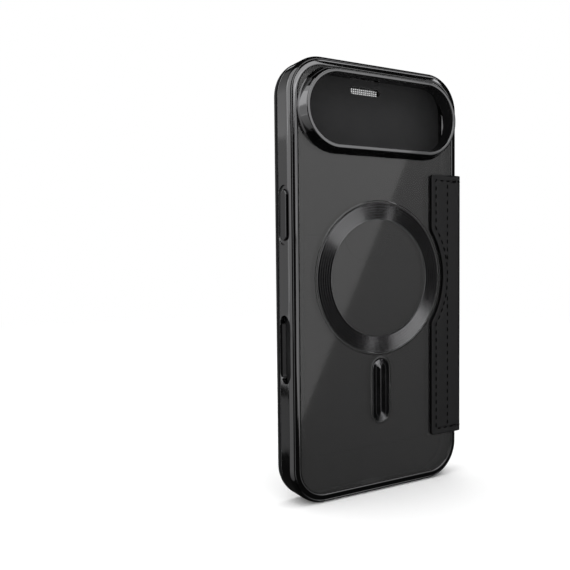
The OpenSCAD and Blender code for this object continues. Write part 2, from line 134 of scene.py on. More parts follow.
# Keys, the groove round each one and the recess behind it. KEYS has each key's side, its
# middle and its length without the flange.
KEY_W = 4.0
KEY_GAP = 0.2
KEY_FLANGE = 0.8
KEY_FLANGE_T = 0.25
KEY_ROUND = 0.45
MOAT_W = 1.5
MOAT_D = 0.55
MOAT_EDGE = 0.12
RECESS_W = 1.0
RECESS_D = 0.55
KEY_SIDES = {"power_key": 1, "action_key": -1, "volume_up_key": -1, "volume_down_key": -1}
KEYS = {
    name: (side, middle(name, 1), span(name, 1) - 2 * KEY_FLANGE)
    for name, side in KEY_SIDES.items()
}

# Camera frame
WINDOW_Y = middle("camera_frame", 1)
WINDOW_W = 65.1
WINDOW_H = 24.9
RIM_H = -flat_box("camera_frame")[0][2]
RIM_FOOT = (span("camera_frame", 1) - WINDOW_H) / 2
RIM_FLAT = 1.05
RIM_EDGE = 0.3
RIM_ROUND = 0.6
RIM_SPIGOT = 0.75

# Ring and bar. Each face has a number of grooves, a flat edge on both sides of them, and a
# flat land before the first groove and then before every second or sixth one after it.
RING_Y = middle("ring_trim", 1)
RING_RO = span("ring_trim", 0) / 2
RING_RI = 21.9
BAR_Y = middle("bar_trim", 1)
BAR_L = span("bar_trim", 1)
BAR_W = span("bar_trim", 0)
BAR_CORE = 0.02
TRIM_PROUD = -flat_box("ring_trim")[0][2]
TRIM_BACK = flat_box("ring_trim")[1][2]
TRIM_INSIDE = 0.3
TRIM_WALL = 0.2
TRIM_CHAMFER = 0.08
GROOVE_SLOPE = 20.0
RING_GROOVES = {"count": 12, "edge": 0.1, "land": 0.08, "every": 2}
BAR_GROOVES = {"count": 10, "edge": 0.0, "land": 0.1, "every": 6}
BEAD_GAP = 0.08
BEAD = [(0.0, 0.02), (0.12, -0.06), (0.35, -0.1), (0.7, -0.08), (1.0, 0.02)]
FILM_GAP = 0.02

# Tab, spine and folds
TAB_TOP = flat_box("tab_leather")[0][2]
TAB_X = -flat_box("tab_leather")[1][0]
TAB_UNDER = flat_box("tab_leather")[1][2]
TAB_GAP = 2.3
TAB_R = 1.2
TAB_FILLET = 4.0
SEAM_X = 32.5
SPINE_Y0 = flat_box("spine_leather")[0][1]
SPINE_Y1 = flat_box("spine_leather")[1][1]
SPINE_OUT = -flat_box("spine_leather")[0][0]
LEATHER_T = span("spine_leather", 0)
FOLD_R = 2.5
FOLD_FLAT = 1.0
FOLD_STEPS = 14
FOLD_LIFT = 0.015

# Cover, its lining and the card pocket
COVER_FRONT = flat_box("cover_leather")[1][2]
COVER_BACK = flat_box("cover_leather")[0][2]
COVER_ROUND = 0.7
TURN_W = 3.3
PAD_RISE = 0.3
PAD_RUN = 5.0
COVER_EDGE = COVER_FRONT - PAD_RISE
SLOT_Y = 152.0
SLOT_L = 14.0
SLOT_T = 2.8
POCKET_R = 3.0
NOTCH_R = 10.0

# Stitches, and the line pressed into the leather for them
STITCH_IN = 2.3
STITCH_PITCH = 3.1
STITCH_L = 1.9
STITCH_ARCH = 0.12
STITCH_SINK = 0.04
THREAD_R = 0.27
CHANNEL_W = 0.8
CHANNEL_D = 0.14

# Mesh steps, the angle in degrees from which an edge is sharp, and a hair's breadth that
# keeps points or faces from coinciding
CORNER_STEPS = 24
BUMPER_STEPS = 40
RIM_STEPS = 36
CIRCLE_STEPS = 192
ROUND_STEPS = 8
SLOT_STEPS = 12
STRIP_STEPS = 48
SHARP = 32.0
HAIR = 0.001

# Distance of the lights and the distances between which the floor fades, in metres, and the
# strengths of the surroundings
LIGHT_AWAY = 2.5
FADE_FROM = 0.12
FADE_TO = 0.75
AMBIENT = 0.45
REFLECTED = 0.015
BACKGROUND = 1.0

# Camera: its lens in millimetres, its place in metres from the middle of the bumper's rear
# face at the base, and its directions
CAMERA_LENS = 41.42
CAMERA_AT = (0.15145, 0.1970, 0.08985)
CAMERA_RIGHT = (-0.8721, 0.4892, -0.0107)
CAMERA_BACK = (0.4883, 0.8715, 0.0451)


# ---------- materials ----------


def new_material(name, colour, roughness, **inputs):
    """A Principled material with its constants on the shader's own sockets."""
    mat = bpy.data.materials.new(name)
    mat.use_nodes = True
    shader = mat.node_tree.nodes["Principled BSDF"]
    shader.inputs["Base Color"].default_value = (*colour, 1.0)
    shader.inputs["Roughness"].default_value = roughness
    for key, value in inputs.items():
        shader.inputs[key.replace("_", " ")].default_value = value
    return mat


def node(mat, kind, **inputs):
    """Adds a shader node, with values for its inputs."""
    made = mat.node_tree.nodes.new(kind)
    for key, value in inputs.items():
        made.inputs[key.replace("_", " ")].default_value = value
    return made


def link(mat, source, out, target, into):
    """Links an output of one node to an input of another."""
    mat.node_tree.links.new(source.outputs[out], target.inputs[into])


def shader_of(mat):
    """The material's Principled shader."""
    return mat.node_tree.nodes["Principled BSDF"]


def coordinates(mat):
    """A node whose Object output is the place on the piece, in metres."""
    return node(mat, "ShaderNodeTexCoord")


def noise(mat, where, scale, detail=3.0, rough=0.5):
    """A noise texture over coordinates."""
    made = node(mat, "ShaderNodeTexNoise", Scale=scale, Detail=detail, Roughness=rough)
    link(mat, where, "Object", made, "Vector")
    return made


def bump(mat, height, out, distance, strength, below=None):
    """Adds a bump over the one below it, if there is one."""
    made = node(mat, "ShaderNodeBump", Strength=strength, Distance=distance)
    link(mat, height, out, made, "Height")
    if below:
        link(mat, below, "Normal", made, "Normal")
    return made


def vary(mat, source, into, low, high):
    """Drives a shader input with a texture, between two values. A noise texture mostly stays
    between 0.3 and 0.7."""
    ramp = node(mat, "ShaderNodeMapRange")
    for socket, value in (("From Min", 0.3), ("From Max", 0.7), ("To Min", low), ("To Max", high)):
        ramp.inputs[socket].default_value = value
    link(mat, source, 0, ramp, "Value")
    link(mat, ramp, "Result", shader_of(mat), into)


def tint(mat, source, low, high):
    """Drives the base colour with a texture, between two colours."""
    mix = node(mat, "ShaderNodeMix")
    mix.data_type = "RGBA"
    mix.inputs["A"].default_value = (*low, 1.0)
    mix.inputs["B"].default_value = (*high, 1.0)
    link(mat, source, 0, mix, "Factor")
    link(mat, mix, "Result", shader_of(mat), "Base Color")


def leather(name, colour, roughness, grain=1.0, gloss=0.34):
    """Smooth black leather: fine pebbled grain, faint creases and worn patches of gloss."""
    mat = new_material(name, colour, roughness, Specular_IOR_Level=gloss)
    where = coordinates(mat)
    cells = node(mat, "ShaderNodeTexVoronoi", Scale=2600.0)
    cells.feature = "SMOOTH_F1"
    link(mat, where, "Object", cells, "Vector")
    pores = noise(mat, where, 5200.0, 2.0)
    waves = noise(mat, where, 160.0, 4.0)
    first = bump(mat, cells, "Distance", 0.00010, 0.35 * grain)
    second = bump(mat, pores, 0, 0.00004, 0.3 * grain, first)
    third = bump(mat, waves, 0, 0.0003, 0.12 * grain, second)
    link(mat, third, "Normal", shader_of(mat), "Normal")
    vary(mat, waves, "Roughness", roughness - 0.05, roughness + 0.07)
    tint(mat, waves, [c * 0.85 for c in colour], [c * 1.2 for c in colour])
    return mat


def plated(name, colour, roughness):
    """Black mirror plating over moulded plastic, with a faint ripple and haze of handling."""
    mat = new_material(name, colour, roughness, Metallic=1.0)
    where = coordinates(mat)
    ripple = noise(mat, where, 120.0, 1.0)
    haze = noise(mat, where, 420.0, 5.0, 0.65)
    bent = bump(mat, ripple, 0, 0.0004, 0.05)
    link(mat, bent, "Normal", shader_of(mat), "Normal")
    vary(mat, haze, "Roughness", roughness * 0.7, roughness * 1.5)
    return mat


def smoked(name):
    """Clear smoked plate: see-through, with a gloss that shows handling marks."""
    mat = new_material(name, (0.012, 0.012, 0.012), 0.03, IOR=1.9, Alpha=0.6)
    where = coordinates(mat)
    flow = noise(mat, where, 45.0, 1.0)
    smear = noise(mat, where, 300.0, 5.0, 0.7)
    bent = bump(mat, flow, 0, 0.0004, 0.01)
    link(mat, bent, "Normal", shader_of(mat), "Normal")
    vary(mat, smear, "Roughness", 0.02, 0.06)
    return mat


def turned_metal(name, colour, roughness):
    """Metal turned on a lathe about the object's own Y axis."""
    mat = new_material(name, colour, roughness, Metallic=1.0, Anisotropic=0.4)
    tangent = node(mat, "ShaderNodeTangent")
    tangent.direction_type = "RADIAL"
    tangent.axis = "Y"
    link(mat, tangent, "Tangent", shader_of(mat), "Tangent")
    where = coordinates(mat)
    haze = noise(mat, where, 500.0, 4.0)
    vary(mat, haze, "Roughness", roughness * 0.9, roughness * 1.15)
    return mat


def cloth(name, colour, scale=3800.0):
    """Microfibre: a soft nap with a little sheen."""
    mat = new_material(name, colour, 0.95, Sheen_Weight=0.25, Sheen_Roughness=0.5)
    where = coordinates(mat)
    nap = noise(mat, where, scale, 4.0, 0.7)
    patch = noise(mat, where, 90.0, 3.0)
    raised = bump(mat, nap, 0, 0.0002, 0.5)
    link(mat, raised, "Normal", shader_of(mat), "Normal")
    tint(mat, patch, [c * 0.8 for c in colour], [c * 1.25 for c in colour])
    return mat


def thread_material():
    """Waxed twisted thread."""
    mat = new_material("waxed_thread", (0.0015, 0.0015, 0.0016), 0.6, Specular_IOR_Level=0.05)
    where = coordinates(mat)
    twist = node(mat, "ShaderNodeTexWave", Scale=1500.0, Distortion=1.5)
    twist.bands_direction = "DIAGONAL"
    link(mat, where, "Object", twist, "Vector")
    raised = bump(mat, twist, "Fac", 0.0001, 0.6)
    link(mat, raised, "Normal", shader_of(mat), "Normal")
    return mat


def plain(name, colour, roughness, metallic=0.0, scale=900.0):
    """Fine-grained plain stock for pieces inside the case."""
    mat = new_material(name, colour, roughness, Metallic=metallic)
    where = coordinates(mat)
    grain = noise(mat, where, scale, 4.0, 0.6)
    raised = bump(mat, grain, 0, 0.00006, 0.3)
    link(mat, raised, "Normal", shader_of(mat), "Normal")
    vary(mat, grain, "Roughness", roughness * 0.85, min(1.0, roughness * 1.15))
    return mat


PLATED = plated("black_plating", (0.17, 0.17, 0.173), 0.06)
KEY_PLATED = plated("black_key_plating", (0.12, 0.12, 0.123), 0.08)
SMOKED = smoked("smoked_panel")
TURNED = turned_metal("turned_black_chrome", (0.145, 0.145, 0.148), 0.16)
FLUTED = plated("fluted_black_chrome", (0.16, 0.16, 0.165), 0.16)
LEATHER = leather("black_leather", (0.0085, 0.0085, 0.009), 0.48)
EDGE_PAINT = leather("leather_edge_paint", (0.002, 0.002, 0.0022), 0.6, grain=0.3, gloss=0.08)
LINING = cloth("microfibre_lining", (0.022, 0.022, 0.023))
POCKET = cloth("pocket_microfibre", (0.03, 0.03, 0.031))
FOAM = cloth("foam", (0.1, 0.1, 0.1), scale=1500.0)
THREAD = thread_material()
MAGNET = plain("nickel_magnet", (0.55, 0.54, 0.5), 0.3, metallic=1.0)
STRIP = plain("steel_strip", (0.45, 0.45, 0.45), 0.35, metallic=1.0)
TAPE = plain("white_tape", (0.6, 0.6, 0.58), 0.6)
BOARD = plain("core_board", (0.3, 0.28, 0.25), 0.8)
MESH_METAL = plain("silver_mesh", (0.75, 0.75, 0.76), 0.28, metallic=1.0)


# ---------- mesh helpers ----------


def make(name, verts, faces, mat, sharp=SHARP):
    """A mesh piece from points of the flat frame, smooth except over sharp edges."""
    mesh = bpy.data.meshes.new(name)
    mesh.from_pydata([at(*v) for v in verts], [], faces)
    mesh.materials.append(mat)
    obj = bpy.data.objects.new(name, mesh)
    bpy.context.scene.collection.objects.link(obj)
    tidy_normals(obj, sharp)
    return obj


def tidy_normals(obj, sharp=SHARP):
    """Outward faces, and smooth shading that large flat faces keep flat."""
    bm = bmesh.new()
    bm.from_mesh(obj.data)
    bmesh.ops.remove_doubles(bm, verts=bm.verts, dist=1e-7)
    bmesh.ops.recalc_face_normals(bm, faces=bm.faces)
    bm.to_mesh(obj.data)
    bm.free()
    obj.data.shade_smooth()
    obj.data.set_sharp_from_angle(angle=math.radians(sharp))
    even_shading(obj)


def plain_shading(obj):
    """Takes off what even_shading adds."""
    for old in [m for m in obj.modifiers if m.type == "WEIGHTED_NORMAL"]:
        obj.modifiers.remove(old)


def even_shading(obj):
    """Keeps large flat faces flat, where smooth shading would bend them."""
    plain_shading(obj)
    weighted = obj.modifiers.new("weighted", "WEIGHTED_NORMAL")
    weighted.keep_sharp = True
    weighted.weight = 80


def loft(loops, wrap=False):
    """Quads between loops of equal length, closed by a cap at both ends or, with wrap, by quads
    from the last loop to the first."""
    count, size = len(loops), len(loops[0])
    verts = [p for loop in loops for p in loop]
    faces = []
    for i in range(count if wrap else count - 1):
        a, b = i * size, (i + 1) % count * size
        for j in range(size):
            k = (j + 1) % size
            faces.append((a + j, a + k, b + k, b + j))
    if not wrap:
        faces.append(tuple(range(size)))
        faces.append(tuple(range((count - 1) * size, count * size)))
    return verts, faces


def stations(w, h, r, cx, cy, steps=CORNER_STEPS):
    """Centres and outward directions round a rounded rectangle."""
    found = []
    for k in range(4):
        ox = cx + (w / 2 - r) * (1 if k in (0, 3) else -1)
        oy = cy + (h / 2 - r) * (1 if k in (0, 1) else -1)
        for i in range(steps + 1):
            a = math.pi / 2 * (k + i / steps)
            found.append((ox, oy, math.cos(a), math.sin(a)))
    return found


def swept(section, where):
    """Sweeps a closed section of (distance from the centre, z) along stations."""
    section = [p for i, p in enumerate(section) if math.dist(p, section[i - 1]) > 1e-4]
    loops = [[(cx + d * ux, cy + d * uy, z) for d, z in section] for cx, cy, ux, uy in where]
    return loft(loops, wrap=True)


def arc(cx, cz, r, a0, a1, steps=ROUND_STEPS):
    """Points on an arc, angles in degrees, both ends included."""
    angles = [math.radians(a0 + (a1 - a0) * i / steps) for i in range(steps + 1)]
    return [(cx + r * math.cos(a), cz + r * math.sin(a)) for a in angles]


def plate(w, h, r, cx, cy, profile):
    """A rounded plate: profile is a list of (inset, z) from one flat face to the other."""
    loops = []
    for inset, z in profile:
        corner = r - inset
        where = stations(w - 2 * inset, h - 2 * inset, corner, cx, cy)
        loops.append([(ox + corner * ux, oy + corner * uy, z) for ox, oy, ux, uy in where])
    return loft(loops)


def cut(obj, *tools):
    """Cuts the tools' shapes out of obj, and removes them."""
    plain_shading(obj)
    for tool in tools:
        mod = obj.modifiers.new("cut", "BOOLEAN")
        mod.operation = "DIFFERENCE"
        mod.solver = "EXACT"
        mod.object = tool
    dg = bpy.context.evaluated_depsgraph_get()
    cut_mesh = bpy.data.meshes.new_from_object(obj.evaluated_get(dg))
    obj.modifiers.clear()
    obj.data = cut_mesh
    for tool in tools:
        bpy.data.objects.remove(tool)
    tidy_normals(obj)


def finish_piece(obj, body, slot, *nodes):
    """Puts a piece on its body and hides the CAD nodes that it stands for. The slot is not used.
    """
    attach(obj, body)
    if nodes:
        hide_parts(*nodes)


# ---------- bumper ----------


def bumper_section():
    """Section of the bumper: a barely domed flange, a rounding with a fine groove in it, the
    flat side wall and the front lip."""
    r = CORNER_R
    inner, front = r - FLANGE_W, SHELL_D - FRONT_ROUND
    dome_x = inner + FLANGE_EDGE
    tilt = math.asin((r - REAR_ROUND - dome_x) / DOME_R)
    start = math.degrees(tilt) - 90
    dome = arc(dome_x, DOME_R, DOME_R, -90, start)
    side_r = REAR_ROUND / (1 - math.sin(tilt))
    side_z = dome[-1][1] + side_r * math.cos(tilt)
    rounding = arc(r - side_r, side_z, side_r, start, 0, 24)[1:]
    groove_a, groove_b = r - GROOVE_IN - GROOVE_HALF, r - GROOVE_IN + GROOVE_HALF
    points = [(inner, FLANGE_T), (inner, 0.3), (inner + 0.08, 0.09)] + dome
    points += [p for p in rounding if p[0] < groove_a]
    points += [(groove_a + 0.05, GROOVE_FLOOR), (groove_b - 0.05, GROOVE_FLOOR)]
    points += [p for p in rounding if p[0] > groove_b]
    points += [(r, side_z + 0.4), (r, front - 0.3)]
    points += arc(r - FRONT_ROUND, front, FRONT_ROUND, 0, 90)
    points += [(r - LIP_W + 0.2, SHELL_D), (r - LIP_W, SHELL_D - 0.2), (r - LIP_W, LIP_Z)]
    points += [(r - WALL_T, LIP_Z), (r - WALL_T, FLANGE_T)]
    return points


def slot_loop(x, y, z, length, width):
    """A slot with round ends in a side wall, long in y, at distance x from the middle."""
    r, reach = width / 2, (length - width) / 2
    loop = []
    for side in (1, -1):
        for i in range(SLOT_STEPS + 1):
            a = math.pi * i / SLOT_STEPS
            loop.append((x, y + side * (reach + r * math.sin(a)), z + side * r * math.cos(a)))
    return loop


def side_shape(name, y, length, width, depths, mat):
    """A slot-shaped solid in the +X wall: depths is a list of (x, growth of the slot)."""
    loops = [slot_loop(x, y, SIDE_MID, length + 2 * g, width + 2 * g) for x, g in depths]
    return make(name, *loft(loops), mat)


def mirrored(obj):
    """Moves a shape from the +X wall to the -X wall."""
    flip = Matrix.Translation((2 * X0, 0, 0)) @ Matrix.Scale(-1, 4, (1, 0, 0))
    obj.data.transform(flip)
    tidy_normals(obj)
    return obj


def key_tools(name, y, length):
    """Cutters for a key's hole, the groove round it and the recess behind the wall."""
    start, end = HALF_W - CUT_IN, HALF_W + CUT_OUT
    moat_out = MOAT_W + 2 * MOAT_EDGE
    groove = [(HALF_W - MOAT_D, MOAT_W - MOAT_EDGE), (HALF_W - MOAT_D + MOAT_EDGE, MOAT_W)]
    groove += [(HALF_W - MOAT_EDGE, MOAT_W), (HALF_W + MOAT_EDGE, moat_out), (end, moat_out)]
    parts = {
        "hole": [(start, KEY_GAP), (end, KEY_GAP)],
        "groove": groove,
        "recess": [(start, RECESS_W), (HALF_W - WALL_T + RECESS_D, RECESS_W)],
    }
    return [
        side_shape(f"{name}_{part}", y, length, KEY_W, depths, PLATED)
        for part, depths in parts.items()
    ]


def control_tool():
    """Cutter for the camera control's cut-out, with a bevelled edge."""
    depths = [(HALF_W - CUT_IN, 0.0), (HALF_W - 0.9, 0.0), (HALF_W - 0.25, 0.2)]
    depths += [(HALF_W - 0.08, 0.3), (HALF_W, CONTROL_BEVEL), (HALF_W + CUT_OUT, CONTROL_BEVEL)]
    return side_shape("control_cut", CONTROL_Y, CONTROL_L, CONTROL_W, depths, PLATED)


def bottom_tool(name, x, length, width):
    """Cutter for a slot through the bottom wall, bevelled outside."""
    loops = []
    for y, g in ((-CUT_OUT, PORT_BEVEL), (0, PORT_BEVEL), (PORT_BEVEL, 0.0), (CUT_IN, 0.0)):
        flat = slot_loop(0, 0, 0, length + 2 * g, width + 2 * g)
        loops.append([(x + p[1], y, SIDE_MID + p[2]) for p in flat])
    return make(name, *loft(loops), PLATED)


def bumper():
    """Plated bumper with its port, speaker slots, camera-control cut-out and key holes."""
    where = stations(SHELL_W, SHELL_H, CORNER_R, 0, MID_Y, BUMPER_STEPS)
    obj = make("bumper", *swept(bumper_section(), where), PLATED)
    tools = [control_tool(), bottom_tool("port_cut", 0, PORT_L, PORT_W)]
    for side in (-1, 1):
        tools.append(bottom_tool(f"speaker_cut_{side}", side * SPEAKER_X, SPEAKER_L, SPEAKER_W))
    for name, (side, y, length) in KEYS.items():
        made = key_tools(name, y, length)
        tools += made if side > 0 else [mirrored(tool) for tool in made]
    cut(obj, *tools)
    finish_piece(obj, "shell", "plated_shell", "bumper_frame")


def key_profile(back, face):
    """A key cap from its flange to its rounded face, as (x, growth)."""
    depths = [(back, KEY_FLANGE), (back + KEY_FLANGE_T, KEY_FLANGE), (back + KEY_FLANGE_T, 0.0)]
    for inset, rise in arc(0, 0, KEY_ROUND, 0, 90, 6):
        depths.append((face - KEY_ROUND + rise, inset - KEY_ROUND))
    return depths + [(face, -2 * KEY_ROUND)]


def keys():
    """Key caps with rounded edges."""
    for name, (side, y, length) in KEYS.items():
        low, high = flat_box(name)
        back, face = (low[0], high[0]) if side > 0 else (-high[0], -low[0])
        obj = side_shape(f"{name}_cap", y, length, KEY_W, key_profile(back, face), KEY_PLATED)
        if side < 0:
            mirrored(obj)
        finish_piece(obj, name, "plated_key", name)


# ---------- back ----------


def camera_rim():
    """Oval frame round the camera window: flat polished top and sloping outer wall."""
    r = WINDOW_H / 2
    top, foot = -RIM_H, r + RIM_FOOT
    section = [(r, PANEL_T), (r, top + 0.35)]
    section += arc(r + RIM_EDGE, top + RIM_EDGE, RIM_EDGE, 180, 270, 5)
    section += arc(r + RIM_FLAT, top + RIM_ROUND, RIM_ROUND, 270, 328)
    section += [(foot - 0.45, -0.75), (foot - 0.25, -0.35), (foot, -0.15), (foot, 0.0)]
    section += [(r + RIM_SPIGOT, 0.0), (r + RIM_SPIGOT, PANEL_T)]
    where = stations(WINDOW_W, WINDOW_H - HAIR, r - HAIR / 2, 0, WINDOW_Y, RIM_STEPS)
    obj = make("camera_rim", *swept(section, where), PLATED, sharp=28.0)
    finish_piece(obj, "shell", "plated_shell", "camera_frame")


def circle_stations(cy):
    """Centres and outward directions round a full circle."""
    angles = [2 * math.pi * i / CIRCLE_STEPS for i in range(CIRCLE_STEPS)]
    return [(0, cy, math.cos(a), math.sin(a)) for a in angles]


def centred(obj, x, y, z):
    """Moves an object's own origin to a point of the flat frame, leaving its shape in place."""
    spot = at(x, y, z)
    obj.data.transform(Matrix.Translation(-spot))
    obj.location = spot


def grooved_face(inner, outer, count, edge, land, every):
    """Section points of a face between two distances, with V grooves. A flat land stands
    before the first groove and then before every so many."""
    lands = [land if i % every == 0 else 0.0 for i in range(count)]
    width = (outer - inner - 2 * edge - sum(lands)) / count
    depth = width / 2 * math.tan(math.radians(GROOVE_SLOPE))
    points = [(inner, -TRIM_PROUD)]
    d = inner + edge
    for flat in lands:
        d += flat
        points.append((d, -TRIM_PROUD))
        points.append((d + width / 2, depth - TRIM_PROUD))
        d += width
        points.append((d, -TRIM_PROUD))
    return points + [(outer, -TRIM_PROUD)]


def ring():
    """Metal ring with fine turned grooves."""
    lip = TRIM_CHAMFER - TRIM_PROUD
    section = [(RING_RI, TRIM_BACK), (RING_RI, lip)]
    section += grooved_face(RING_RI + TRIM_CHAMFER, RING_RO - TRIM_CHAMFER, **RING_GROOVES)
    section += [(RING_RO, lip), (RING_RO, TRIM_BACK)]
    section += [(RING_RO - TRIM_WALL, TRIM_BACK), (RING_RO - TRIM_WALL, TRIM_INSIDE)]
    section += [(RING_RI + TRIM_WALL, TRIM_INSIDE), (RING_RI + TRIM_WALL, TRIM_BACK)]
    obj = make("magnet_ring", *swept(section, circle_stations(RING_Y)), TURNED, sharp=20.0)
    centred(obj, 0, RING_Y, 0)
    finish_piece(obj, "shell", "dark_metal", "ring_trim")


def bar():
    """Alignment bar, with grooves that run round its face."""
    r = BAR_W / 2
    section = [(BAR_CORE, TRIM_INSIDE)]
    section += grooved_face(BAR_CORE, r - TRIM_CHAMFER, **BAR_GROOVES)
    section += [(r, TRIM_CHAMFER - TRIM_PROUD), (r, TRIM_BACK)]
    section += [(r - TRIM_WALL, TRIM_BACK), (r - TRIM_WALL, TRIM_INSIDE)]
    where = stations(BAR_W + 2 * HAIR, BAR_L + HAIR, r, 0, BAR_Y)
    obj = make("alignment_bar", *swept(section, where), FLUTED, sharp=20.0)
    finish_piece(obj, "shell", "dark_metal", "bar_trim")


def bead(name, r, where):
    """A low clear bead on the panel, just outside a distance from the stations."""
    section = [(r + BEAD_GAP + d, z) for d, z in BEAD]
    obj = make(name, *swept(section, where), SMOKED, sharp=60.0)
    finish_piece(obj, "shell", "smoked_panel")


def beads():
    """Beads round the ring and the bar."""
    bead("ring_bead", RING_RO, circle_stations(RING_Y))
    bead("bar_bead", BAR_W / 2, stations(BAR_W + HAIR, BAR_L, BAR_W / 2, 0, BAR_Y))


# ---------- leather ----------


def channel(level, inward):
    """Section of a pressed stitch line in a surface at a level, as (distance in, level)."""
    half, bottom = CHANNEL_W / 2, level + inward * CHANNEL_D
    section = [(STITCH_IN - half - 0.15, level), (STITCH_IN - half + 0.1, bottom)]
    return section + [(STITCH_IN + half - 0.1, bottom), (STITCH_IN + half + 0.15, level)]


def tab_path(inset, x_fold):
    """The tab's outline from the fold, round its inner edge, and back to the fold."""
    edge = TAB_X + inset
    r = max(TAB_R - inset, 0.05)
    fillet = TAB_FILLET - inset
    ring_r = RING_RO + TAB_GAP + inset
    lift = math.sqrt((ring_r + fillet) ** 2 - (edge + fillet) ** 2)
    turn = math.degrees(math.atan2(lift, edge + fillet))
    y0, y1 = SPINE_Y0 + inset, SPINE_Y1 - inset
    path = [(-x_fold, y1), (-(edge + x_fold) / 2, y1)]
    path += arc(-edge - r, y1 - r, r, 90, 0, 6)
    path += arc(-edge - fillet, RING_Y + lift, fillet, 0, -turn)
    path += arc(0, RING_Y, ring_r, 180 - turn, 180 + turn, 32)[1:-1]
    path += arc(-edge - fillet, RING_Y - lift, fillet, turn, 0)
    path += arc(-edge - r, y0 + r, r, 0, -90, 6)
    path += [(-(edge + x_fold) / 2, y0), (-x_fold, y0)]
    return path


def paint_edges(obj, level):
    """Edge paint on every face deeper than a level of z."""
    obj.data.materials.append(EDGE_PAINT)
    for face in obj.data.polygons:
        if (Y0 - face.center.y) / MM > level:
            face.material_index = 1


def seam_tool():
    """Cutter for the pressed line of the straight seam beside the spine."""
    y0, y1 = SPINE_Y0 + STITCH_IN, SPINE_Y1 - STITCH_IN
    loops = []
    for z, shrink in ((TAB_TOP - 1, 0.0), (TAB_TOP, 0.0), (TAB_TOP + CHANNEL_D * 0.8, 0.12)):
        w = CHANNEL_W / 2 - shrink
        x0, x1 = -SEAM_X - w, -SEAM_X + w
        loops.append([(x0, y0, z), (x1, y0, z), (x1, y1, z), (x0, y1, z)])
    return make("seam_cut", *loft(loops), LEATHER)


def tab():
    """Leather tab on the back, with a rounded edge and pressed stitch lines."""
    x_fold = SPINE_OUT - FOLD_R - FOLD_FLAT
    top = TAB_TOP
    steps = [(0.05, TAB_UNDER + 0.3), (0.0, TAB_UNDER - 0.05), (0.0, top + 0.3)]
    steps += [(0.04, top + 0.14), (0.14, top + 0.04), (0.32, top), (0.6, top)]
    steps += channel(top, 1)
    steps.append((steps[-1][0] + 0.25, top))
    loops = [[(x, y, z) for x, y in tab_path(inset, x_fold)] for inset, z in steps]
    obj = make("tab_skin", *loft(loops), LEATHER)
    cut(obj, seam_tool())
    paint_edges(obj, TAB_TOP + CHANNEL_D + 0.03)
    finish_piece(obj, "shell", "black_leather", "tab_leather")


def strip(name, path):
    """A bent leather strip: path is its outer line of (x, z, outward x, outward z). Both ends
    have a rounded edge and a pressed stitch line."""
    t, edge = LEATHER_T, 0.22
    profile = [(0.0, t), (0.0, edge), (edge * 0.3, edge * 0.3), (edge, 0.0)] + channel(0.0, 1)
    margin = profile[-1][0]
    run = SPINE_Y1 - SPINE_Y0 - 2 * margin
    ys = [(SPINE_Y0 + a, depth) for a, depth in profile]
    ys += [(SPINE_Y0 + margin + run * i / STRIP_STEPS, 0.0) for i in range(1, STRIP_STEPS)]
    ys += [(SPINE_Y1 - a, depth) for a, depth in reversed(profile)]
    back = t + HAIR
    loops = []
    for y, depth in ys:
        outer = [(x - nx * depth, y, z - nz * depth) for x, z, nx, nz in path]
        inner = [(x - nx * back, y, z - nz * back) for x, z, nx, nz in reversed(path)]
        loops.append(outer + inner)
    return make(name, *loft(loops), LEATHER)


def fold_path(z_side, toward):
    """Outer line of a fold between the spine and a face at z_side. toward is 1 or -1 in z."""
    cx, cz = -SPINE_OUT + FOLD_R, z_side - toward * FOLD_R
    path = [(-SPINE_OUT, cz - toward * FOLD_FLAT, -1, 0)]
    for i in range(FOLD_STEPS + 1):
        a = math.pi / 2 * i / FOLD_STEPS
        nx, nz = -math.cos(a), toward * math.sin(a)
        path.append((cx + FOLD_R * nx, cz + FOLD_R * nz, nx, nz))
    path.append((cx + FOLD_FLAT, z_side, 0, toward))
    return path


def spine_and_folds():
    """The spine's panel, and the leather that bends from it to the tab and to the cover."""
    rear, front = fold_path(TAB_TOP, -1), fold_path(COVER_EDGE + FOLD_LIFT, 1)
    z0, z1 = rear[0][1], front[0][1]
    side = [(-SPINE_OUT, z0 + i * (z1 - z0) / 4, -1, 0) for i in range(5)]
    finish_piece(strip("spine_skin", side), "spine", "black_leather", "spine_leather")
    for name, path, near in (("rear_fold", rear, "shell"), ("front_fold", front, "cover")):
        obj = strip(f"{name}_skin", path)
        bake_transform(obj)
        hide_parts(name)
        thread = stitch_mesh(f"{name}_stitches", fold_stitches(path))
        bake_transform(thread)


def fold_stitches(path):
    """Two stitches round a fold, near each end of it."""
    spots = []
    for y in (SPINE_Y0 + STITCH_IN, SPINE_Y1 - STITCH_IN):
        for i in (len(path) // 4, len(path) * 3 // 4):
            (x0, z0, _, _), (x, z, nx, nz), (x1, z1, _, _) = path[i - 1], path[i], path[i + 1]
            p = (x - nx * CHANNEL_D, y, z - nz * CHANNEL_D)
            spots.append((p, (x1 - x0, 0, z1 - z0), (nx, 0, nz)))
    return spots


def cover_profile():
    """The cover from its turned edge over its front to its padded middle, as (inset, z)."""
    back, f, r = COVER_BACK, COVER_EDGE, COVER_ROUND
    profile = [(TURN_W, back), (0.3, back), (0.08, back + 0.08), (0.0, back + 0.3)]
    profile += [(r - x, f - r + z) for x, z in arc(0, 0, r, 0, 90)]
    profile += channel(f, -1)
    start, steps = profile[-1][0], 8
    for i in range(1, steps + 1):
        rise = PAD_RISE * math.sin(math.pi / 2 * i / steps)
        profile.append((start + PAD_RUN * i / steps, f + rise))
    return profile


def earpiece_tool(depths, mat):
    """Cutter for the earpiece slot: depths is a list of (z, growth of the slot)."""
    loops = []
    for z, g in depths:
        flat = slot_loop(0, 0, 0, SLOT_L + 2 * g, SLOT_T + 2 * g)
        loops.append([(p[1], SLOT_Y + p[2], z) for p in flat])
    return make("slot_cut", *loft(loops), mat)


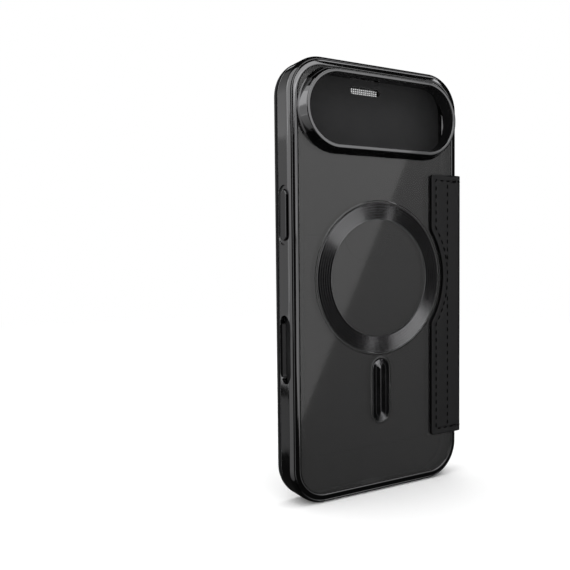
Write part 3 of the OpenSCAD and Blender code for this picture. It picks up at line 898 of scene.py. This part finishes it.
def cover():
    """Leather front with a rounded turned edge, a pressed stitch line and the earpiece slot."""
    skin = plate(SHELL_W, SHELL_H, CORNER_R, 0, MID_Y, cover_profile())
    obj = make("cover_skin", *skin, LEATHER)
    w, h, r = SHELL_W - 2 * TURN_W, SHELL_H - 2 * TURN_W, CORNER_R - TURN_W
    core = plate(w, h, r, 0, MID_Y, [(0, COVER_BACK - 1), (0, COVER_FRONT - LEATHER_T)])
    depths = [(-2, 0.0), (-0.35, 0.0), (-0.1, 0.12), (0.1, 0.35), (1, 0.35)]
    slot = earpiece_tool([(COVER_FRONT + z, g) for z, g in depths], LEATHER)
    cut(obj, make("core_cut", *core, LEATHER), slot)
    finish_piece(obj, "cover", "black_leather", "cover_leather")


def lining():
    """Soft lining inside the cover."""
    low, high = flat_box("cover_lining")
    profile = [(0.25, high[2]), (0.0, high[2] - 0.05), (0.0, low[2] + 0.25), (0.07, low[2] + 0.07)]
    profile += [(0.25, low[2]), (1.0, low[2])]
    w, h = high[0] - low[0], high[1] - low[1]
    obj = make("lining_sheet", *plate(w, h, CORNER_R - 0.6, 0, MID_Y, profile), LINING)
    cut(obj, earpiece_tool([(low[2] - 1, 0.0), (high[2] + 1, 0.0)], LINING))
    finish_piece(obj, "cover", "lining", "cover_lining")


def pocket_path(inset):
    """The card pocket's outline, with a half-round thumb notch in its top edge."""
    low, high = flat_box("card_pocket")
    x, y0, y1 = high[0] - inset, low[1] + inset, high[1] - inset
    r = POCKET_R - inset
    notch = NOTCH_R + inset
    dip = math.degrees(math.asin(inset / notch))
    path = arc(0, high[1], notch, 360 - dip, 180 + dip, 28)
    path += [(-notch - 4, y1)]
    path += arc(-x + r, y1 - r, r, 90, 180)
    path += arc(-x + r, y0 + r, r, 180, 270)
    path += arc(x - r, y0 + r, r, 270, 360)
    path += arc(x - r, y1 - r, r, 0, 90)
    path += [(notch + 4, y1)]
    return path


def pocket():
    """Card pocket's sheet, with rounded edges and a pressed border."""
    low, high = flat_box("card_pocket")
    back, face = high[2], low[2]
    steps = [(0.1, back), (0.0, back - 0.1), (0.0, face + 0.12), (0.04, face + 0.04), (0.14, face)]
    steps += [(0.8, face), (0.95, face + 0.1), (1.45, face + 0.1), (1.6, face), (2.0, face)]
    loops = [[(x, y, z) for x, y in pocket_path(inset)] for inset, z in steps]
    obj = make("pocket_sheet", *loft(loops), POCKET)
    finish_piece(obj, "cover", "lining", "card_pocket")


def films():
    """White films behind the magnets and the tape under the tab, each a hair clear of the
    panel that shows them."""
    g = FILM_GAP
    low, high = flat_box("ring_backing")
    section = [(RING_RI + g, low[2]), (RING_RO - g, low[2])]
    section += [(RING_RO - g, high[2] - g), (RING_RI + g, high[2] - g)]
    obj = make("ring_film", *swept(section, circle_stations(RING_Y)), TAPE)
    finish_piece(obj, "shell", "adhesive", "ring_backing")
    low, high = flat_box("bar_backing")
    w = BAR_W - 2 * g
    layers = [(0, low[2]), (0, high[2] - g)]
    obj = make("bar_film", *plate(w + 2 * HAIR, BAR_L - 2 * g, w / 2, 0, BAR_Y, layers), TAPE)
    finish_piece(obj, "shell", "adhesive", "bar_backing")
    low, high = flat_box("tab_adhesive")
    path = tab_path(SPINE_Y1 - high[1], -low[0])
    loops = [[(x, y, z) for x, y in path] for z in (low[2], high[2] - g)]
    obj = make("tab_tape", *loft(loops), TAPE)
    finish_piece(obj, "shell", "adhesive", "tab_adhesive")


# ---------- stitches ----------


def stitch_points(p, heading, normal):
    """One arched stitch as loops of points: p is its middle, on the surface."""
    rings, sides = 7, 8
    ahead = Vector(heading).normalized()
    out = Vector(normal).normalized()
    across = ahead.cross(out)
    loops = []
    for i in range(rings):
        s = 2 * i / (rings - 1) - 1
        taper = math.sqrt(max(0.04, 1 - abs(s) ** 3))
        rise = STITCH_ARCH * (1 - s * s) - STITCH_SINK
        centre = Vector(p) + ahead * (s * STITCH_L / 2) + out * rise
        loop = []
        for j in range(sides):
            a = 2 * math.pi * j / sides
            spoke = across * math.cos(a) + out * math.sin(a) * 0.8
            loop.append(tuple(centre + spoke * THREAD_R * taper))
        loops.append(loop)
    return loops


def stitch_mesh(name, spots):
    """All stitches of one seam as one piece. spots holds (point, heading, outward)."""
    verts, faces = [], []
    for spot in spots:
        v, f = loft(stitch_points(*spot))
        faces += [tuple(i + len(verts) for i in face) for face in f]
        verts += v
    return make(name, verts, faces, THREAD, sharp=60.0)


def stitched(name, body, spots, node_name):
    """A seam on one body, in place of a CAD node."""
    finish_piece(stitch_mesh(name, spots), body, "thread", node_name)


def along(path, z, outward, start=0.0):
    """Evenly spaced stitches along an open path of (x, y)."""
    spots = []
    left = start
    for (xa, ya), (xb, yb) in zip(path, path[1:]):
        dx, dy = xb - xa, yb - ya
        run = math.hypot(dx, dy)
        while left < run:
            t = left / run
            spots.append(((xa + dx * t, ya + dy * t, z), (dx, dy, 0), outward))
            left += STITCH_PITCH
        left -= run
    return spots


def tab_stitches():
    """Stitches along the tab's edge, and a straight seam with a gap where the edge's stitches
    run into it."""
    z, out = TAB_TOP + CHANNEL_D, (0, 0, -1)
    spots = along(tab_path(STITCH_IN, HALF_W - 2.5), z, out, 0.4)
    gap, end = 6.5, STITCH_IN + 1.2
    for a, b in ((SPINE_Y0 + end, RING_Y - gap), (RING_Y + gap, SPINE_Y1 - end)):
        spots += along([(-SEAM_X, a), (-SEAM_X, b)], z, out, 0.9)
    stitched("tab_stitches", "shell", spots, "tab_stitching")


def spine_stitches():
    """Stitches across both ends of the spine."""
    rear, front = fold_path(TAB_TOP, -1)[0][1], fold_path(COVER_EDGE, 1)[0][1]
    count = 3
    spots = []
    for y in (SPINE_Y0 + STITCH_IN, SPINE_Y1 - STITCH_IN):
        for i in range(count):
            z = rear + (front - rear) * (i + 0.5) / count
            spots.append(((-SPINE_OUT, y, z), (0, 0, 1), (-1, 0, 0)))
    stitched("spine_stitches", "spine", spots, "spine_stitching")


def cover_stitches():
    """Stitches round the cover, except where the front fold covers its edge."""
    r = CORNER_R - STITCH_IN
    where = stations(SHELL_W - 2 * STITCH_IN, SHELL_H - 2 * STITCH_IN, r, 0, MID_Y, 16)
    loop = [(cx + r * ux, cy + r * uy) for cx, cy, ux, uy in where]
    loop.append(loop[0])
    spots = []
    for p, heading, out in along(loop, COVER_EDGE - CHANNEL_D, (0, 0, 1)):
        beside_spine = p[0] < 0 and SPINE_Y0 + STITCH_IN < p[1] < SPINE_Y1 - STITCH_IN
        if not beside_spine:
            spots.append((p, heading, out))
    stitched("cover_stitches", "cover", spots, "cover_stitching")


def pocket_stitches():
    """Stitches down both sides of the pocket and along its base."""
    low, high = flat_box("card_pocket")
    x, y0, y1 = high[0] - 1.2, low[1] + 1.2, high[1] - 1.5
    path = [(-x, y1), (-x, y0), (x, y0), (x, y1)]
    spots = along(path, low[2] + 0.08, (0, 0, -1), 0.5)
    stitched("pocket_stitches", "cover", spots, "pocket_stitching")


# ---------- carried-over nodes ----------

CARRIED = {
    "back_panel": SMOKED,
    "ring_magnets": MAGNET,
    "bar_magnet": MAGNET,
    "catch_strips": STRIP,
    "tab_board": BOARD,
    "spine_board": BOARD,
    "spine_lining": LINING,
    "cover_padding": FOAM,
    "cover_board": BOARD,
    "cover_magnets": MAGNET,
    "earpiece_grille": MESH_METAL,
    "pocket_seam": POCKET,
}


def carried_over():
    """Materials for the CAD nodes that are shown as they are."""
    for name, mat in CARRIED.items():
        obj = frame["nodes"][name]
        obj.data.materials.clear()
        obj.data.materials.append(mat)
        even_shading(obj)


# ---------- stage, light and camera ----------


def floor():
    """Pale floor that fades into the white background far from the case."""
    mat = new_material("pale_floor", (0.88, 0.88, 0.88), 0.9)
    where = coordinates(mat)
    grain = noise(mat, where, 60.0, 4.0)
    vary(mat, grain, "Roughness", 0.85, 0.95)
    reach = node(mat, "ShaderNodeVectorMath")
    reach.operation = "LENGTH"
    link(mat, where, "Object", reach, 0)
    fade = node(mat, "ShaderNodeMapRange")
    fade.interpolation_type = "SMOOTHSTEP"
    for socket, value in (("From Min", FADE_FROM), ("From Max", FADE_TO)):
        fade.inputs[socket].default_value = value
    link(mat, reach, "Value", fade, "Value")
    white = node(mat, "ShaderNodeEmission", Color=(1, 1, 1, 1), Strength=1.0)
    mix = node(mat, "ShaderNodeMixShader")
    link(mat, fade, "Result", mix, 0)
    link(mat, shader_of(mat), 0, mix, 1)
    link(mat, white, 0, mix, 2)
    link(mat, mix, 0, mat.node_tree.nodes["Material Output"], "Surface")
    bpy.ops.mesh.primitive_circle_add(vertices=96, radius=12, fill_type="NGON")
    obj = bpy.context.object
    obj.name = "floor"
    obj.data.materials.append(mat)
    obj.visible_glossy = False


def world():
    """White background for the camera, dim surroundings in reflections, even light elsewhere."""
    studio = bpy.data.worlds.new("studio")
    bpy.context.scene.world = studio
    studio.use_nodes = True
    tree = studio.node_tree
    tree.nodes.clear()
    path = tree.nodes.new("ShaderNodeLightPath")
    layers = []
    for strength in (AMBIENT, REFLECTED, BACKGROUND):
        layer = tree.nodes.new("ShaderNodeBackground")
        layer.inputs["Color"].default_value = (1, 1, 1, 1)
        layer.inputs["Strength"].default_value = strength
        layers.append(layer)
    last = layers[0]
    for ray, layer in (("Is Glossy Ray", layers[1]), ("Is Camera Ray", layers[2])):
        mix = tree.nodes.new("ShaderNodeMixShader")
        tree.links.new(path.outputs[ray], mix.inputs["Fac"])
        tree.links.new(last.outputs[0], mix.inputs[1])
        tree.links.new(layer.outputs[0], mix.inputs[2])
        last = mix
    out = tree.nodes.new("ShaderNodeOutputWorld")
    tree.links.new(last.outputs[0], out.inputs["Surface"])


def faded(data, low, high):
    """Fades an area light between its lower and its upper edge."""
    data.use_nodes = True
    tree = data.node_tree
    place = tree.nodes.new("ShaderNodeNewGeometry")
    split = tree.nodes.new("ShaderNodeSeparateXYZ")
    ramp = tree.nodes.new("ShaderNodeMapRange")
    ramp.inputs["To Min"].default_value = low
    ramp.inputs["To Max"].default_value = high
    tree.links.new(place.outputs["Parametric"], split.inputs["Vector"])
    tree.links.new(split.outputs["Y"], ramp.inputs["Value"])
    tree.links.new(ramp.outputs["Result"], tree.nodes["Emission"].inputs["Strength"])


def softbox(name, azimuth, elevation, width, height, radiance, roll=0.0, fade=(1, 1), seen=True):
    """A soft light, placed and sized by the angles that it covers seen from the case.
    Azimuth 0 is in front of the cover and 90 on the side of the power key."""
    centre = Vector((0, 0, MID_Y * MM))
    a, e = math.radians(azimuth), math.radians(elevation)
    away = Vector((math.sin(a) * math.cos(e), -math.cos(a) * math.cos(e), math.sin(e)))
    data = bpy.data.lights.new(name, "AREA")
    data.shape = "RECTANGLE"
    data.size = 2 * LIGHT_AWAY * math.tan(math.radians(width / 2))
    data.size_y = 2 * LIGHT_AWAY * math.tan(math.radians(height / 2))
    data.energy = radiance * math.pi * data.size * data.size_y
    if fade != (1, 1):
        faded(data, *fade)
    obj = bpy.data.objects.new(name, data)
    turn = away.to_track_quat("Z", "Y").to_matrix() @ Matrix.Rotation(math.radians(roll), 3, "Z")
    obj.matrix_world = Matrix.Translation(centre + away * LIGHT_AWAY) @ turn.to_4x4()
    obj.visible_camera = False
    obj.visible_glossy = seen
    bpy.context.scene.collection.objects.link(obj)


def lights():
    """Soft boxes, each where a surface of the case mirrors it towards the camera."""
    # The clear back
    softbox("rear_box", 204.3, 2.3, 24, 37.5, 0.5, -22.2)
    softbox("rear_fill", 217.0, -3.5, 26, 41, 0.6, fade=(0.34, 1))
    softbox("band_high", 194.5, 11.0, 11, 18, 0.6)
    softbox("band_low", 194.5, -7.0, 11, 16, 0.3)
    # The side wall, from its top to its foot
    softbox("wall_high", 26.0, 28.0, 50, 34, 0.6, fade=(1, 0))
    softbox("wall_middle", 35.5, 2.5, 29, 17, 0.32)
    softbox("wall_low", 35.5, -9.0, 29, 6, 0.6)
    softbox("wall_foot", 35.5, -15.6, 29, 5, 0.17)
    # The camera rim's outer wall and the rounding round the back
    softbox("rim_box", 64.0, 16.5, 26, 48, 0.65)
    softbox("round_high", 110.0, 41.0, 86, 56, 1.1)
    softbox("round_box", 103.5, 3.0, 63, 20, 0.85, fade=(0.6, 1))
    softbox("round_low", 96.0, -25.3, 78, 36, 0.5, fade=(0.4, 1))
    softbox("retro_low", 145.0, -27.0, 20, 34, 0.2)
    # The ring's grooves and the top edge
    softbox("ring_box", 195.5, 26.2, 31, 20, 1.7, 18.0)
    softbox("glint_box", 231.0, 26.6, 4, 14, 2.5, -37.0)
    softbox("top_line", 235.0, 42.0, 30, 8, 1.6)
    # Streaks on rounded corners, the cover's front, and soft light from above
    softbox("streak_box", -45.0, 12.0, 8, 5, 1.5)
    softbox("front_box", -5.0, 20.0, 24, 24, 0.7)
    softbox("overhead", 180.0, 89.0, 60, 60, 2.2, seen=False)


def camera():
    """The photograph's camera: behind the case, a little above its middle."""
    data = bpy.data.cameras.new("camera")
    data.lens = CAMERA_LENS
    data.sensor_width = 36.0
    obj = bpy.data.objects.new("camera", data)
    back = Vector(CAMERA_BACK).normalized()
    up = back.cross(Vector(CAMERA_RIGHT).normalized()).normalized()
    right = up.cross(back)
    turn = Matrix((right, up, back)).transposed().to_4x4()
    obj.matrix_world = Matrix.Translation(Vector(CAMERA_AT) + Vector((X0, Y0, 0))) @ turn
    bpy.context.scene.collection.objects.link(obj)
    bpy.context.scene.camera = obj


camera()
bumper()
keys()
camera_rim()
ring()
bar()
beads()
tab()
spine_and_folds()
cover()
lining()
pocket()
films()
tab_stitches()
spine_stitches()
cover_stitches()
pocket_stitches()
carried_over()
floor()
world()
lights()
bpy.context.scene.view_settings.view_transform = "Standard"
